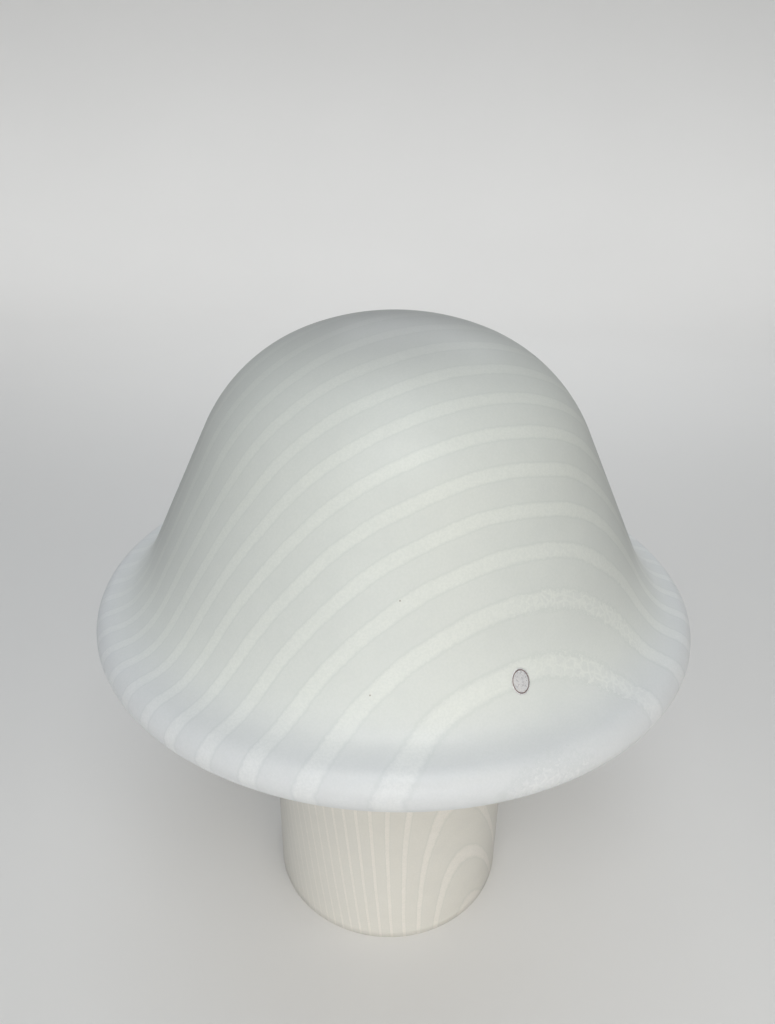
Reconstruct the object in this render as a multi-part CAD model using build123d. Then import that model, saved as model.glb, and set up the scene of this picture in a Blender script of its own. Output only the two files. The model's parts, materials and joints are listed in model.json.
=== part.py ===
"""Mushroom table lamp: one blown glass body standing over a lamp fitting with a screw-in bulb.

Millimetres. The lamp's foot is z = 0, +Z is up along its axis and the cord inlet is at the back, +Y.
Every outline is drawn as (radius, height) and turned about Z.
"""
import os
from math import acos, cos, degrees, pi, radians, sin, sqrt

from build123d import *

# ---- glass body: dome, rolled hollow brim and stem, blown in one piece ----
OVERALL_HEIGHT = 446.0
BRIM_RADIUS = 200.0
STEM_RADIUS = 89.0
GLASS_WALL = 3.5
CROWN_RADIUS = 164.0
CROWN_TURN = 22.0            # degrees of the crown's arc, from the axis
SHOULDER_RADIUS = 115.0
CONE_ANGLE = 25.8            # slope of the dome's straight side, from the vertical
FLARE_UPPER_RADIUS = 90.0
FLARE_UPPER_TURN = 14.0
FLARE_LOWER_RADIUS = 28.0
BRIM_SLOPE = 18.0            # fall of the brim's top face, from the horizontal
BRIM_FLAT = 5.0
RIM_RADIUS = 14.0            # the brim's rolled edge
UNDERSIDE_SLOPE = 4.0
NECK_RADIUS = 14.0           # where the underside turns down into the stem
GROUND_BEVEL = 0.6

# ---- base plate: a pressed steel pan, open side down ----
PLATE_GLASS_GAP = 6.5        # between the pan's flange and the glass
PLATE_TOP = 19.2
PLATE_THICKNESS = 1.2
PLATE_BEND = 3.0
FLANGE_LIFT = 3.0            # flange's lower edge above the lamp's foot
BOSS_RADIUS = 20.0
BOSS_RISE = 3.0
BOSS_BEND = 3.0
BOSS_SLOPE = 45.0
VENT_RADIUS = 6.0
VENT_CIRCLE = 41.0
VENT_COUNT = 6

# ---- rubber feet ----
FOOT_COUNT = 3
FOOT_CIRCLE = 61.0
FOOT_RADIUS = 8.0
FOOT_TAPER = 1.0
FOOT_NECK_RADIUS = 3.0
FOOT_HEAD_RADIUS = 4.6
FOOT_HEAD_HEIGHT = 3.0

# ---- leaf springs that centre the glass ----
SPRING_WIDTH = 10.0
SPRING_THICKNESS = 0.6
SPRING_GLASS_CLEARANCE = 0.3
SPRING_LEAN = 14.0
SPRING_FOOT = 13.5           # straight stretch along the flange and past the bend
SPRING_FOOT_LIFT = 4.0
SPRING_HEEL_BEND = 12.0
SPRING_BOW = 30.0
SPRING_RETURN = 14.0
SPRING_CURL = 5.0
SPRING_CURL_TURN = 32.0
SPRING_TIP = 3.0
RIVET_RADIUS = 1.2
RIVET_HEAD_RADIUS = 2.2
RIVET_HEAD_HEIGHT = 0.8
RIVET_OFFSET = 2.7
RIVET_HEIGHT = 8.5

# ---- cord inlet ----
INLET_HEIGHT = 9.5
INLET_BORE = 3.2
INLET_WALL = 1.3
INLET_COLLAR = 1.6           # how far both collars stand out past the neck
INLET_COLLAR_THICKNESS = 1.8
INLET_TAIL = 6.0
NOTCH_HALF_WIDTH = 5.5

# ---- threaded stem tube and what is on it ----
TUBE_RADIUS = 5.0
TUBE_BORE = 4.0
TUBE_BOTTOM = 9.0
NUT_FLATS = 14.0
NUT_HEIGHT = 3.5
WASHER_RADIUS = 8.0
WASHER_THICKNESS = 0.8
WASHER_TEETH = 12
TUBE_BUSH_BORE = 3.4
TUBE_BUSH_FLANGE = 1.2
TUBE_BUSH_LENGTH = 8.0

# ---- lampholder ----
HOLDER_BOTTOM = 188.0
CAP_NECK_RADIUS = 8.5
CAP_NECK_HEIGHT = 9.0
CAP_RADIUS = 21.0
CAP_WALL = 3.0
CAP_SHOULDER_HEIGHT = 18.0
CAP_BODY_HEIGHT = 24.0
CAP_HEIGHT = 30.0
SPIGOT_RADIUS = 19.2
TUBE_ENGAGEMENT = 9.0
SKIRT_HEIGHT = 40.0
SKIRT_LIP = 1.2
INSERT_FLANGE_THICKNESS = 4.0
INSERT_DEPTH = 6.0
INSERT_RADIUS = 16.0
INSERT_BOSS_RADIUS = 6.3
INSERT_BOSS_HEIGHT = 1.0
SHELL_BORE = 13.35           # threaded shell, inside its thread crests
SHELL_WALL = 0.5
SHELL_HEIGHT = 27.0
SHELL_HOLE = 7.0
TONGUE_WIDTH = 4.5
TONGUE_THICKNESS = 0.4
TONGUE_FOOT = 4.0
TONGUE_RAMP = 2.6
TONGUE_RAMP_ANGLE = 50.0
TONGUE_BEND = 1.0
TONGUE_PAD = 3.6
TONGUE_START = -6.0
CONTACT_RIVET_RADIUS = 0.9
CONTACT_RIVET_HEAD = 1.3
CONTACT_RIVET_HEAD_HEIGHT = 0.6
STRIP_WIDTH = 6.0
STRIP_THICKNESS = 0.8
STRIP_END = 15.3
TONGUE_RIVET_X = 4.2
SHELL_RIVET_X = 8.4
TERMINAL_X = 12.4
CLAMP_SIZE = 5.2
TERMINAL_SCREW_RADIUS = 1.7
TERMINAL_HEAD_RADIUS = 2.5
TERMINAL_HEAD_HEIGHT = 2.2
TERMINAL_SCREW_GRIP = 5.0
LOCK_SCREW_RADIUS = 1.5
LOCK_SCREW_HEAD_RADIUS = 2.6
LOCK_SCREW_HEAD_HEIGHT = 2.0
LOCK_SCREW_HEIGHT = 5.0

# ---- bulb ----
BULB_RADIUS = 30.0
BULB_FLARE = 45.0            # concave stretch between the round envelope and its neck
BULB_NECK_RADIUS = 12.3
BULB_WALL = 1.0
BULB_NECK_TAIL = 15.5        # neck held inside the screw cap
BULB_NECK_RISE = 2.5
BULB_CAP_RADIUS = 13.0
BULB_CAP_WALL = 0.4
BULB_CAP_HEIGHT = 21.0
BULB_CAP_FLARE = 0.7
BULB_CAP_TOE = 2.0
CONTACT_RADIUS = 4.7
CONTACT_HEIGHT = 1.5
INSULATOR_HEIGHT = 4.0
INSULATOR_TOP_RADIUS = 11.0
INSULATOR_BOTTOM_RADIUS = 5.6
BULB_CONTACT_GAP = 0.3
MOUNT_RADIUS = 3.5
MOUNT_WALL = 0.9
MOUNT_HEIGHT = 34.0
MOUNT_FLARE_HEIGHT = 12.0
FILAMENT_RING = 12.0
FILAMENT_RADIUS = 0.5
FILAMENT_OPENING = 50.0      # degrees left open between the two ends
FILAMENT_RISE = 16.0         # above the glass mount's tip
LEAD_RADIUS = 0.4
LEAD_SPREAD = 1.4

SLIP = 0.05                  # radial clearance of pieces that are fitted into each other
THREAD_SLIP = 0.15           # between plain cylinders that stand for mating threads

STEM_BORE = STEM_RADIUS - GLASS_WALL
PLATE_RADIUS = STEM_BORE - PLATE_GLASS_GAP
FLANGE_INNER = PLATE_RADIUS - PLATE_THICKNESS
PLATE_UNDERSIDE = PLATE_TOP - PLATE_THICKNESS
BOSS_TOP = PLATE_TOP + BOSS_RISE
BOSS_UNDERSIDE = BOSS_TOP - PLATE_THICKNESS
TUBE_TOP = HOLDER_BOTTOM + TUBE_ENGAGEMENT
INSERT_SEAT = HOLDER_BOTTOM + CAP_HEIGHT
INSERT_TOP = INSERT_SEAT + INSERT_FLANGE_THICKNESS
INSERT_BOTTOM = INSERT_SEAT - INSERT_DEPTH
INSERT_BOSS_TOP = INSERT_TOP + INSERT_BOSS_HEIGHT
STRIP_BOTTOM = INSERT_BOTTOM - STRIP_THICKNESS
CLAMP_BOTTOM = STRIP_BOTTOM - STRIP_THICKNESS
TONGUE_RISE = (TONGUE_RAMP * sin(radians(TONGUE_RAMP_ANGLE))
               + 2 * TONGUE_BEND * (1 - cos(radians(TONGUE_RAMP_ANGLE)))
               + TONGUE_THICKNESS * (1 - cos(radians(TONGUE_RAMP_ANGLE))))
TONGUE_TOP = INSERT_BOSS_TOP + TONGUE_THICKNESS + TONGUE_RISE
BULB_TIP = TONGUE_TOP + BULB_CONTACT_GAP
INSULATOR_BOTTOM = BULB_TIP + CONTACT_HEIGHT
BULB_CAP_BOTTOM = INSULATOR_BOTTOM + INSULATOR_HEIGHT
BULB_CAP_TOP = BULB_CAP_BOTTOM + BULB_CAP_HEIGHT


def chain(start, heading, steps, inset=0.0):
    """Runs and bends that each leave along the last one's tangent, from start at heading degrees.

    A number is a straight run. A pair is a bend, its radius and its turn in degrees, left when positive.
    inset shifts the line to its right and keeps the bends' centres, so it draws a wall's other face.
    """
    angle = radians(heading)
    here = Vector(start[0] + inset * sin(angle), start[1] - inset * cos(angle))
    edges = []
    for step in steps:
        along = Vector(cos(angle), sin(angle))
        if isinstance(step, tuple):
            radius, turn = step
            radius = radius + inset if turn > 0 else radius - inset
            edge = JernArc(here, along, radius, turn)
            angle += radians(turn)
        else:
            edge = Line(here, here + along * step)
        edges.append(edge)
        here = edge @ 1
    return edges


def sheet(start, heading, steps, thickness):
    """Closed outline of bent sheet: two faces of one chain, joined across both ends."""
    near = chain(start, heading, steps)
    far = chain(start, heading, steps, thickness)
    ends = [Line(near[0] @ 0, far[0] @ 0), Line(near[-1] @ 1, far[-1] @ 1)]
    return make_face(near + far + ends)


def turned(face):
    """Revolve an outline of (radius, height) about the lamp's axis."""
    return revolve(Plane.XZ * face, Axis.Z)


def outline(*points):
    return make_face(Polyline(*points, close=True))


def ring(inner, outer, bottom, top):
    """Plain ring, or a disc where inner is 0."""
    return turned(outline((inner, bottom), (outer, bottom), (outer, top), (inner, top)))


def peg(radius, low, high, along=(0, 0, 1)):
    """Round bar between two distances along a direction through the origin."""
    plane = Plane(origin=Vector(*along) * low, z_dir=along)
    return plane * extrude(Circle(radius), high - low)


def around(shape, angles):
    return [Rot(0, 0, angle) * shape for angle in angles]


def solids_of(shapes):
    """One node made of separate solids."""
    return Compound(children=[solid for shape in shapes for solid in shape.solids()])


def glass_face(inset):
    """The glass from the crown down to its foot, as a chain from its outer face moved in by inset."""
    cone_heading = 90 - CONE_ANGLE
    flare_heading = cone_heading - FLARE_UPPER_TURN

    def rise(degree):
        return sin(radians(degree))

    reach = (CROWN_RADIUS * rise(CROWN_TURN)
             + SHOULDER_RADIUS * (rise(cone_heading) - rise(CROWN_TURN))
             + FLARE_UPPER_RADIUS * (rise(cone_heading) - rise(flare_heading))
             + FLARE_LOWER_RADIUS * (rise(flare_heading) - rise(BRIM_SLOPE))
             + BRIM_FLAT * cos(radians(BRIM_SLOPE))
             + RIM_RADIUS * (1 - rise(BRIM_SLOPE)))
    cone_length = (BRIM_RADIUS - reach) / rise(CONE_ANGLE)
    tuck = (RIM_RADIUS + NECK_RADIUS) * (1 - rise(UNDERSIDE_SLOPE))
    underside = (BRIM_RADIUS - STEM_RADIUS - tuck) / cos(radians(UNDERSIDE_SLOPE))
    upper = chain((0, OVERALL_HEIGHT), 0, [
        (CROWN_RADIUS, -CROWN_TURN),
        (SHOULDER_RADIUS, CROWN_TURN - cone_heading),
        cone_length,
        (FLARE_UPPER_RADIUS, FLARE_UPPER_TURN),
        (FLARE_LOWER_RADIUS, flare_heading - BRIM_SLOPE),
        BRIM_FLAT,
        (RIM_RADIUS, BRIM_SLOPE + UNDERSIDE_SLOPE - 180),
        underside,
        (NECK_RADIUS, 90 - UNDERSIDE_SLOPE),
    ], inset)
    stem_top = upper[-1] @ 1
    return upper + [Line(stem_top, (stem_top.X, 0))]


def glass_body():
    """Even wall all round, a ground foot with a small bevel, and a notch in it for the cord."""
    outer = glass_face(0)
    inner = glass_face(GLASS_WALL)
    closing = [Line(outer[0] @ 0, inner[0] @ 0), Line(outer[-1] @ 1, inner[-1] @ 1)]
    glass = turned(make_face(outer + inner + closing))
    glass = chamfer(glass.edges().group_by(Axis.Z)[0], GROUND_BEVEL)
    arch = peg(NOTCH_HALF_WIDTH, STEM_BORE - GLASS_WALL, STEM_RADIUS + GLASS_WALL, (0, 1, 0))
    slot = Pos(0, STEM_RADIUS - GLASS_WALL / 2, -INLET_HEIGHT / 2) * Box(
        2 * NOTCH_HALF_WIDTH, 4 * GLASS_WALL, INLET_HEIGHT)
    return glass - Pos(0, 0, INLET_HEIGHT) * (arch + slot)


def base_plate():
    """Pressed pan with a raised centre, vent holes, and holes for its feet, rivets and cord bush."""
    slope = radians(BOSS_SLOPE)
    slope_run = (BOSS_RISE - 2 * BOSS_BEND * (1 - cos(slope))) / sin(slope)
    step_width = 2 * BOSS_BEND * sin(slope) + slope_run * cos(slope)
    hole = TUBE_RADIUS + SLIP
    floor_run = PLATE_RADIUS - PLATE_BEND - BOSS_RADIUS - step_width
    pan = turned(sheet((hole, BOSS_TOP), 0, [
        BOSS_RADIUS - hole,
        (BOSS_BEND, -BOSS_SLOPE),
        slope_run,
        (BOSS_BEND, BOSS_SLOPE),
        floor_run,
        (PLATE_BEND, -90),
        PLATE_TOP - PLATE_BEND - FLANGE_LIFT,
    ], PLATE_THICKNESS))
    for angle in range(0, 360, 360 // VENT_COUNT):
        pan -= Rot(0, 0, angle) * Pos(VENT_CIRCLE, 0, 0) * peg(VENT_RADIUS, 0, BOSS_TOP)
    for angle in foot_angles():
        pan -= Rot(0, 0, angle) * Pos(FOOT_CIRCLE, 0, 0) * peg(FOOT_NECK_RADIUS + SLIP, 0, BOSS_TOP)
        pan -= Rot(0, 0, angle) * rivet_holes()
    neck = INLET_BORE + INLET_WALL + SLIP
    return pan - Pos(0, 0, INLET_HEIGHT) * peg(neck, FLANGE_INNER / 2, STEM_BORE, (0, 1, 0))


def foot_angles():
    """Three places, one straight ahead, so that the cord's way at the back stays free."""
    return [270 + 360 / FOOT_COUNT * number for number in range(FOOT_COUNT)]


def rubber_feet():
    """Turned bumper with a neck through the plate and a head that holds it there."""
    foot = outline(
        (0, 0),
        (FOOT_RADIUS - FOOT_TAPER, 0),
        (FOOT_RADIUS, PLATE_UNDERSIDE),
        (FOOT_NECK_RADIUS, PLATE_UNDERSIDE),
        (FOOT_NECK_RADIUS, PLATE_TOP),
        (FOOT_HEAD_RADIUS, PLATE_TOP),
        (FOOT_NECK_RADIUS, PLATE_TOP + FOOT_HEAD_HEIGHT),
        (0, PLATE_TOP + FOOT_HEAD_HEIGHT),
    )
    return solids_of(around(Pos(FOOT_CIRCLE, 0, 0) * turned(foot), foot_angles()))


def rivet_holes():
    low, high = FLANGE_INNER - PLATE_BEND, STEM_BORE
    hole = peg(RIVET_RADIUS + SLIP, low, high, (1, 0, 0))
    return Pos(0, RIVET_OFFSET, RIVET_HEIGHT) * hole + Pos(0, -RIVET_OFFSET, RIVET_HEIGHT) * hole


def spring_seat():
    """Inner face of the leaf springs' feet, just clear of the flange's round outside."""
    return PLATE_RADIUS + SLIP / 2


def spring_arm():
    """Strip riveted to the flange that bows out towards the glass and curls in at its tip."""
    lean = radians(SPRING_LEAN)
    corner = STEM_BORE - SPRING_GLASS_CLEARANCE
    bow_face = sqrt(corner ** 2 - (SPRING_WIDTH / 2) ** 2)
    bends = (SPRING_HEEL_BEND + SPRING_BOW) * (1 - cos(lean))
    ramp = (bow_face - SPRING_THICKNESS - spring_seat() - bends) / sin(lean)
    strip = sheet((spring_seat(), SPRING_FOOT_LIFT), 90, [
        SPRING_FOOT,
        (SPRING_HEEL_BEND, -SPRING_LEAN),
        ramp,
        (SPRING_BOW, 2 * SPRING_LEAN),
        SPRING_RETURN,
        (SPRING_CURL, SPRING_CURL_TURN),
        SPRING_TIP,
    ], SPRING_THICKNESS)
    arm = extrude(Plane.XZ * strip, SPRING_WIDTH / 2, both=True)
    return arm - rivet_holes()


def spring_rivet():
    """Shank through flange and strip, with a head on each face."""
    inner = sqrt(FLANGE_INNER ** 2 - (RIVET_OFFSET + RIVET_HEAD_RADIUS) ** 2)
    outer = spring_seat() + SPRING_THICKNESS
    rivet = peg(RIVET_RADIUS, inner - RIVET_HEAD_HEIGHT, outer + RIVET_HEAD_HEIGHT, (1, 0, 0))
    rivet += peg(RIVET_HEAD_RADIUS, inner - RIVET_HEAD_HEIGHT, inner, (1, 0, 0))
    rivet += peg(RIVET_HEAD_RADIUS, outer, outer + RIVET_HEAD_HEIGHT, (1, 0, 0))
    return rivet


def spring_rivets():
    pair = [Pos(0, side * RIVET_OFFSET, RIVET_HEIGHT) * spring_rivet() for side in (-1, 1)]
    return solids_of([rivet for one in pair for rivet in around(one, foot_angles())])


def cord_bush():
    """Inlet bush: a neck through the flange between two collars, bored for the cord."""
    neck = INLET_BORE + INLET_WALL
    collar = neck + INLET_COLLAR
    inner = sqrt(FLANGE_INNER ** 2 - collar ** 2)
    outer = PLATE_RADIUS
    bush = peg(neck, inner - INLET_TAIL, outer, (0, 1, 0))
    bush += peg(collar, outer, outer + INLET_COLLAR_THICKNESS, (0, 1, 0))
    bush += peg(collar, inner - INLET_COLLAR_THICKNESS, inner, (0, 1, 0))
    bush -= peg(INLET_BORE, inner - 2 * INLET_TAIL, outer + 2 * INLET_COLLAR_THICKNESS, (0, 1, 0))
    return Pos(0, 0, INLET_HEIGHT) * bush


def stem_tube():
    return ring(TUBE_BORE, TUBE_RADIUS, TUBE_BOTTOM, TUBE_TOP)


def nut(bottom):
    """Thin hexagon nut with its corners rounded off by a cone."""
    corner = NUT_FLATS / sqrt(3)
    hexagon = extrude(RegularPolygon(corner, 6), NUT_HEIGHT)
    blank = chamfer(Cylinder(corner, NUT_HEIGHT, align=(Align.CENTER, Align.CENTER, Align.MIN))
                    .edges().filter_by(GeomType.CIRCLE), (corner - NUT_FLATS / 2) * 0.9)
    bored = (hexagon & blank) - peg(TUBE_RADIUS + SLIP, 0, NUT_HEIGHT)
    return Pos(0, 0, bottom) * bored


def tube_nuts():
    """One nut under the plate, one on it, and one that locks the lampholder."""
    return solids_of([
        nut(BOSS_UNDERSIDE - WASHER_THICKNESS - NUT_HEIGHT),
        nut(BOSS_TOP + WASHER_THICKNESS),
        nut(HOLDER_BOTTOM - NUT_HEIGHT),
    ])


def lock_washer(bottom):
    """Ring with teeth cut round its outside."""
    washer = ring(TUBE_RADIUS + SLIP, WASHER_RADIUS, bottom, bottom + WASHER_THICKNESS)
    gap = Pos(WASHER_RADIUS, 0, 0) * peg(pi * WASHER_RADIUS / WASHER_TEETH / 2, bottom, bottom + NUT_HEIGHT)
    for tooth in range(WASHER_TEETH):
        washer -= Rot(0, 0, 360 / WASHER_TEETH * tooth) * gap
    return washer


def lock_washers():
    return solids_of([lock_washer(BOSS_UNDERSIDE - WASHER_THICKNESS), lock_washer(BOSS_TOP)])


def tube_end_bush():
    """Flanged plastic bush that keeps the cord off the tube's lower edge."""
    return turned(outline(
        (TUBE_BUSH_BORE, TUBE_BOTTOM - TUBE_BUSH_FLANGE),
        (TUBE_RADIUS, TUBE_BOTTOM - TUBE_BUSH_FLANGE),
        (TUBE_RADIUS, TUBE_BOTTOM),
        (TUBE_BORE - SLIP, TUBE_BOTTOM),
        (TUBE_BORE - SLIP, TUBE_BOTTOM + TUBE_BUSH_LENGTH),
        (TUBE_BUSH_BORE, TUBE_BOTTOM + TUBE_BUSH_LENGTH),
    ))


def lampholder_cap():
    """Moulded cup that screws on to the tube, with a spigot for the skirt's thread."""
    base = HOLDER_BOTTOM
    inside = SPIGOT_RADIUS - CAP_WALL + 1
    face = outline(
        (TUBE_RADIUS + SLIP, base),
        (CAP_NECK_RADIUS, base),
        (CAP_NECK_RADIUS, base + CAP_NECK_HEIGHT),
        (CAP_RADIUS, base + CAP_SHOULDER_HEIGHT),
        (CAP_RADIUS, base + CAP_BODY_HEIGHT),
        (SPIGOT_RADIUS, base + CAP_BODY_HEIGHT),
        (SPIGOT_RADIUS, base + CAP_HEIGHT),
        (inside, base + CAP_HEIGHT),
        (inside, base + CAP_SHOULDER_HEIGHT),
        (TUBE_RADIUS + SLIP, base + CAP_NECK_HEIGHT + CAP_WALL),
    )
    cap = turned(face)
    low, high = TUBE_RADIUS / 2, CAP_RADIUS
    screw_hole = peg(LOCK_SCREW_RADIUS + SLIP, low, high, (0, -1, 0))
    return cap - Pos(0, 0, base + LOCK_SCREW_HEIGHT) * screw_hole


def cap_lock_screw():
    """Screw through the cap's neck that bears on the tube."""
    tip = TUBE_RADIUS
    screw = peg(LOCK_SCREW_RADIUS, tip, CAP_NECK_RADIUS, (0, -1, 0))
    screw += peg(LOCK_SCREW_HEAD_RADIUS, CAP_NECK_RADIUS, CAP_NECK_RADIUS + LOCK_SCREW_HEAD_HEIGHT, (0, -1, 0))
    return Pos(0, 0, HOLDER_BOTTOM + LOCK_SCREW_HEIGHT) * screw


def lampholder_skirt():
    """Screwed over the cap's spigot, its inner step holds the insert down."""
    bottom = HOLDER_BOTTOM + CAP_BODY_HEIGHT
    thread_bore = SPIGOT_RADIUS + THREAD_SLIP
    throat = SHELL_BORE + SHELL_WALL + 2.0
    top = bottom + SKIRT_HEIGHT
    return turned(outline(
        (thread_bore, bottom),
        (CAP_RADIUS, bottom),
        (CAP_RADIUS - SKIRT_LIP, bottom + SKIRT_LIP),
        (CAP_RADIUS - 2 * SKIRT_LIP + 1, top - 3 * SKIRT_LIP),
        (CAP_RADIUS, top - 2 * SKIRT_LIP),
        (CAP_RADIUS, top),
        (throat, top),
        (throat, INSERT_TOP),
        (thread_bore, INSERT_TOP),
    ))


def terminal_sides():
    """The two poles: -X carries the centre tongue, +X the threaded shell."""
    return [(-1, TONGUE_RIVET_X, INSERT_BOSS_TOP + TONGUE_THICKNESS),
            (1, SHELL_RIVET_X, INSERT_TOP + SHELL_WALL)]


def lampholder_insert():
    """Porcelain: a flange that sits on the cap's rim, with holes for rivets and terminal screws."""
    insert = turned(outline(
        (0, INSERT_BOTTOM),
        (INSERT_RADIUS, INSERT_BOTTOM),
        (INSERT_RADIUS, INSERT_SEAT),
        (SPIGOT_RADIUS - SLIP, INSERT_SEAT),
        (SPIGOT_RADIUS - SLIP, INSERT_TOP),
        (INSERT_BOSS_RADIUS, INSERT_TOP),
        (INSERT_BOSS_RADIUS, INSERT_BOSS_TOP),
        (0, INSERT_BOSS_TOP),
    ))
    for side, rivet_x, _ in terminal_sides():
        insert -= Pos(side * rivet_x, 0, 0) * peg(CONTACT_RIVET_RADIUS + SLIP, INSERT_BOTTOM, INSERT_BOSS_TOP)
        insert -= Pos(side * TERMINAL_X, 0, 0) * peg(
            TERMINAL_SCREW_RADIUS + SLIP, INSERT_BOTTOM, INSERT_BOTTOM + TERMINAL_SCREW_GRIP)
    return insert


def threaded_shell():
    """Brass cup for the bulb's screw cap, drawn here at its thread's inner crests."""
    shell = turned(outline(
        (SHELL_HOLE, INSERT_TOP),
        (SHELL_BORE + SHELL_WALL, INSERT_TOP),
        (SHELL_BORE + SHELL_WALL, INSERT_TOP + SHELL_HEIGHT),
        (SHELL_BORE, INSERT_TOP + SHELL_HEIGHT),
        (SHELL_BORE, INSERT_TOP + SHELL_WALL),
        (SHELL_HOLE, INSERT_TOP + SHELL_WALL),
    ))
    hole = peg(CONTACT_RIVET_RADIUS + SLIP, INSERT_BOTTOM, INSERT_TOP + SHELL_HEIGHT)
    return shell - Pos(SHELL_RIVET_X, 0, 0) * hole


def centre_contact():
    """Springy tongue: foot on the insert's boss, ramp, and a pad under the bulb's contact."""
    tongue = sheet((TONGUE_START, INSERT_BOSS_TOP + TONGUE_THICKNESS), 0, [
        TONGUE_FOOT,
        (TONGUE_BEND, TONGUE_RAMP_ANGLE),
        TONGUE_RAMP,
        (TONGUE_BEND + TONGUE_THICKNESS, -TONGUE_RAMP_ANGLE),
        TONGUE_PAD,
    ], TONGUE_THICKNESS)
    strip = extrude(Plane.XZ * tongue, TONGUE_WIDTH / 2, both=True)
    hole = peg(CONTACT_RIVET_RADIUS + SLIP, INSERT_BOTTOM, TONGUE_TOP)
    return strip - Pos(-TONGUE_RIVET_X, 0, 0) * hole


def contact_rivets():
    """Each joins a contact above the insert to the strip below it."""
    rivets = []
    for side, rivet_x, top in terminal_sides():
        bottom = STRIP_BOTTOM
        rivet = peg(CONTACT_RIVET_RADIUS, bottom, top)
        rivet += peg(CONTACT_RIVET_HEAD, top, top + CONTACT_RIVET_HEAD_HEIGHT)
        rivet += peg(CONTACT_RIVET_HEAD, bottom - CONTACT_RIVET_HEAD_HEIGHT, bottom)
        rivets.append(Pos(side * rivet_x, 0, 0) * rivet)
    return solids_of(rivets)


def terminal_strips():
    """Flat brass strips under the insert, from each rivet out to its terminal screw."""
    strips = []
    for side, rivet_x, _ in terminal_sides():
        start = rivet_x - CONTACT_RIVET_HEAD
        middle = side * (start + STRIP_END) / 2
        strip = Pos(middle, 0, STRIP_BOTTOM + STRIP_THICKNESS / 2) * Box(
            STRIP_END - start, STRIP_WIDTH, STRIP_THICKNESS)
        strip = fillet(strip.edges().filter_by(Axis.Z), CONTACT_RIVET_HEAD / 2)
        strip -= Pos(side * rivet_x, 0, 0) * peg(CONTACT_RIVET_RADIUS + SLIP, CLAMP_BOTTOM, INSERT_TOP)
        strip -= Pos(side * TERMINAL_X, 0, 0) * peg(TERMINAL_SCREW_RADIUS + SLIP, CLAMP_BOTTOM, INSERT_TOP)
        strips.append(strip)
    return solids_of(strips)


def terminal_clamps():
    """Square washers that the screws press on the wires."""
    clamps = []
    for side, _, _ in terminal_sides():
        clamp = Pos(side * TERMINAL_X, 0, CLAMP_BOTTOM + STRIP_THICKNESS / 2) * Box(
            CLAMP_SIZE, CLAMP_SIZE, STRIP_THICKNESS)
        clamp -= Pos(side * TERMINAL_X, 0, 0) * peg(TERMINAL_SCREW_RADIUS + SLIP, 0, INSERT_TOP)
        clamps.append(clamp)
    return solids_of(clamps)


def terminal_screws():
    screws = []
    for side, _, _ in terminal_sides():
        screw = peg(TERMINAL_SCREW_RADIUS, CLAMP_BOTTOM, INSERT_BOTTOM + TERMINAL_SCREW_GRIP - SLIP)
        screw += peg(TERMINAL_HEAD_RADIUS, CLAMP_BOTTOM - TERMINAL_HEAD_HEIGHT, CLAMP_BOTTOM)
        screws.append(Pos(side * TERMINAL_X, 0, 0) * screw)
    return solids_of(screws)


def bulb_bottom():
    """Lower end of the bulb's glass neck, inside the screw cap."""
    return BULB_CAP_TOP - BULB_NECK_TAIL


def bulb_face(inset):
    """The envelope from its lower edge up to its crown."""
    turn = degrees(acos((BULB_NECK_RADIUS + BULB_FLARE) / (BULB_RADIUS + BULB_FLARE)))
    return chain((BULB_NECK_RADIUS, bulb_bottom()), 90, [
        BULB_NECK_TAIL + BULB_NECK_RISE,
        (BULB_FLARE, -turn),
        (BULB_RADIUS, 90 + turn),
    ], -inset)


def bulb_glass():
    outer = bulb_face(0)
    inner = bulb_face(BULB_WALL)
    closing = [Line(outer[0] @ 0, inner[0] @ 0), Line(outer[-1] @ 1, inner[-1] @ 1)]
    return turned(make_face(outer + inner + closing))


def bulb_cap():
    """Screw cap, drawn at its thread's outer crests, with a flared rim and a drawn-in toe."""
    radius = BULB_CAP_RADIUS
    wall = BULB_CAP_WALL
    toe = INSULATOR_TOP_RADIUS
    return turned(outline(
        (toe - wall, BULB_CAP_BOTTOM),
        (toe, BULB_CAP_BOTTOM),
        (radius, BULB_CAP_BOTTOM + BULB_CAP_TOE),
        (radius, BULB_CAP_TOP - BULB_CAP_TOE),
        (radius + BULB_CAP_FLARE, BULB_CAP_TOP),
        (radius + BULB_CAP_FLARE - wall, BULB_CAP_TOP),
        (radius - wall, BULB_CAP_TOP - BULB_CAP_TOE),
        (radius - wall, BULB_CAP_BOTTOM + BULB_CAP_TOE),
    ))


def bulb_insulator():
    """Black glass cone that fills the cap's toe and carries the solder contact."""
    return turned(outline(
        (0, INSULATOR_BOTTOM),
        (INSULATOR_BOTTOM_RADIUS, INSULATOR_BOTTOM),
        (INSULATOR_TOP_RADIUS, BULB_CAP_BOTTOM),
        (0, BULB_CAP_BOTTOM),
    ))


def bulb_contact():
    """Solder button on the insulator."""
    crown = CONTACT_HEIGHT / 2
    return turned(outline(
        (0, BULB_TIP),
        (CONTACT_RADIUS - crown, BULB_TIP),
        (CONTACT_RADIUS, BULB_TIP + crown),
        (CONTACT_RADIUS, INSULATOR_BOTTOM),
        (0, INSULATOR_BOTTOM),
    ))


def mount_tip():
    return bulb_bottom() + MOUNT_HEIGHT


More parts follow.
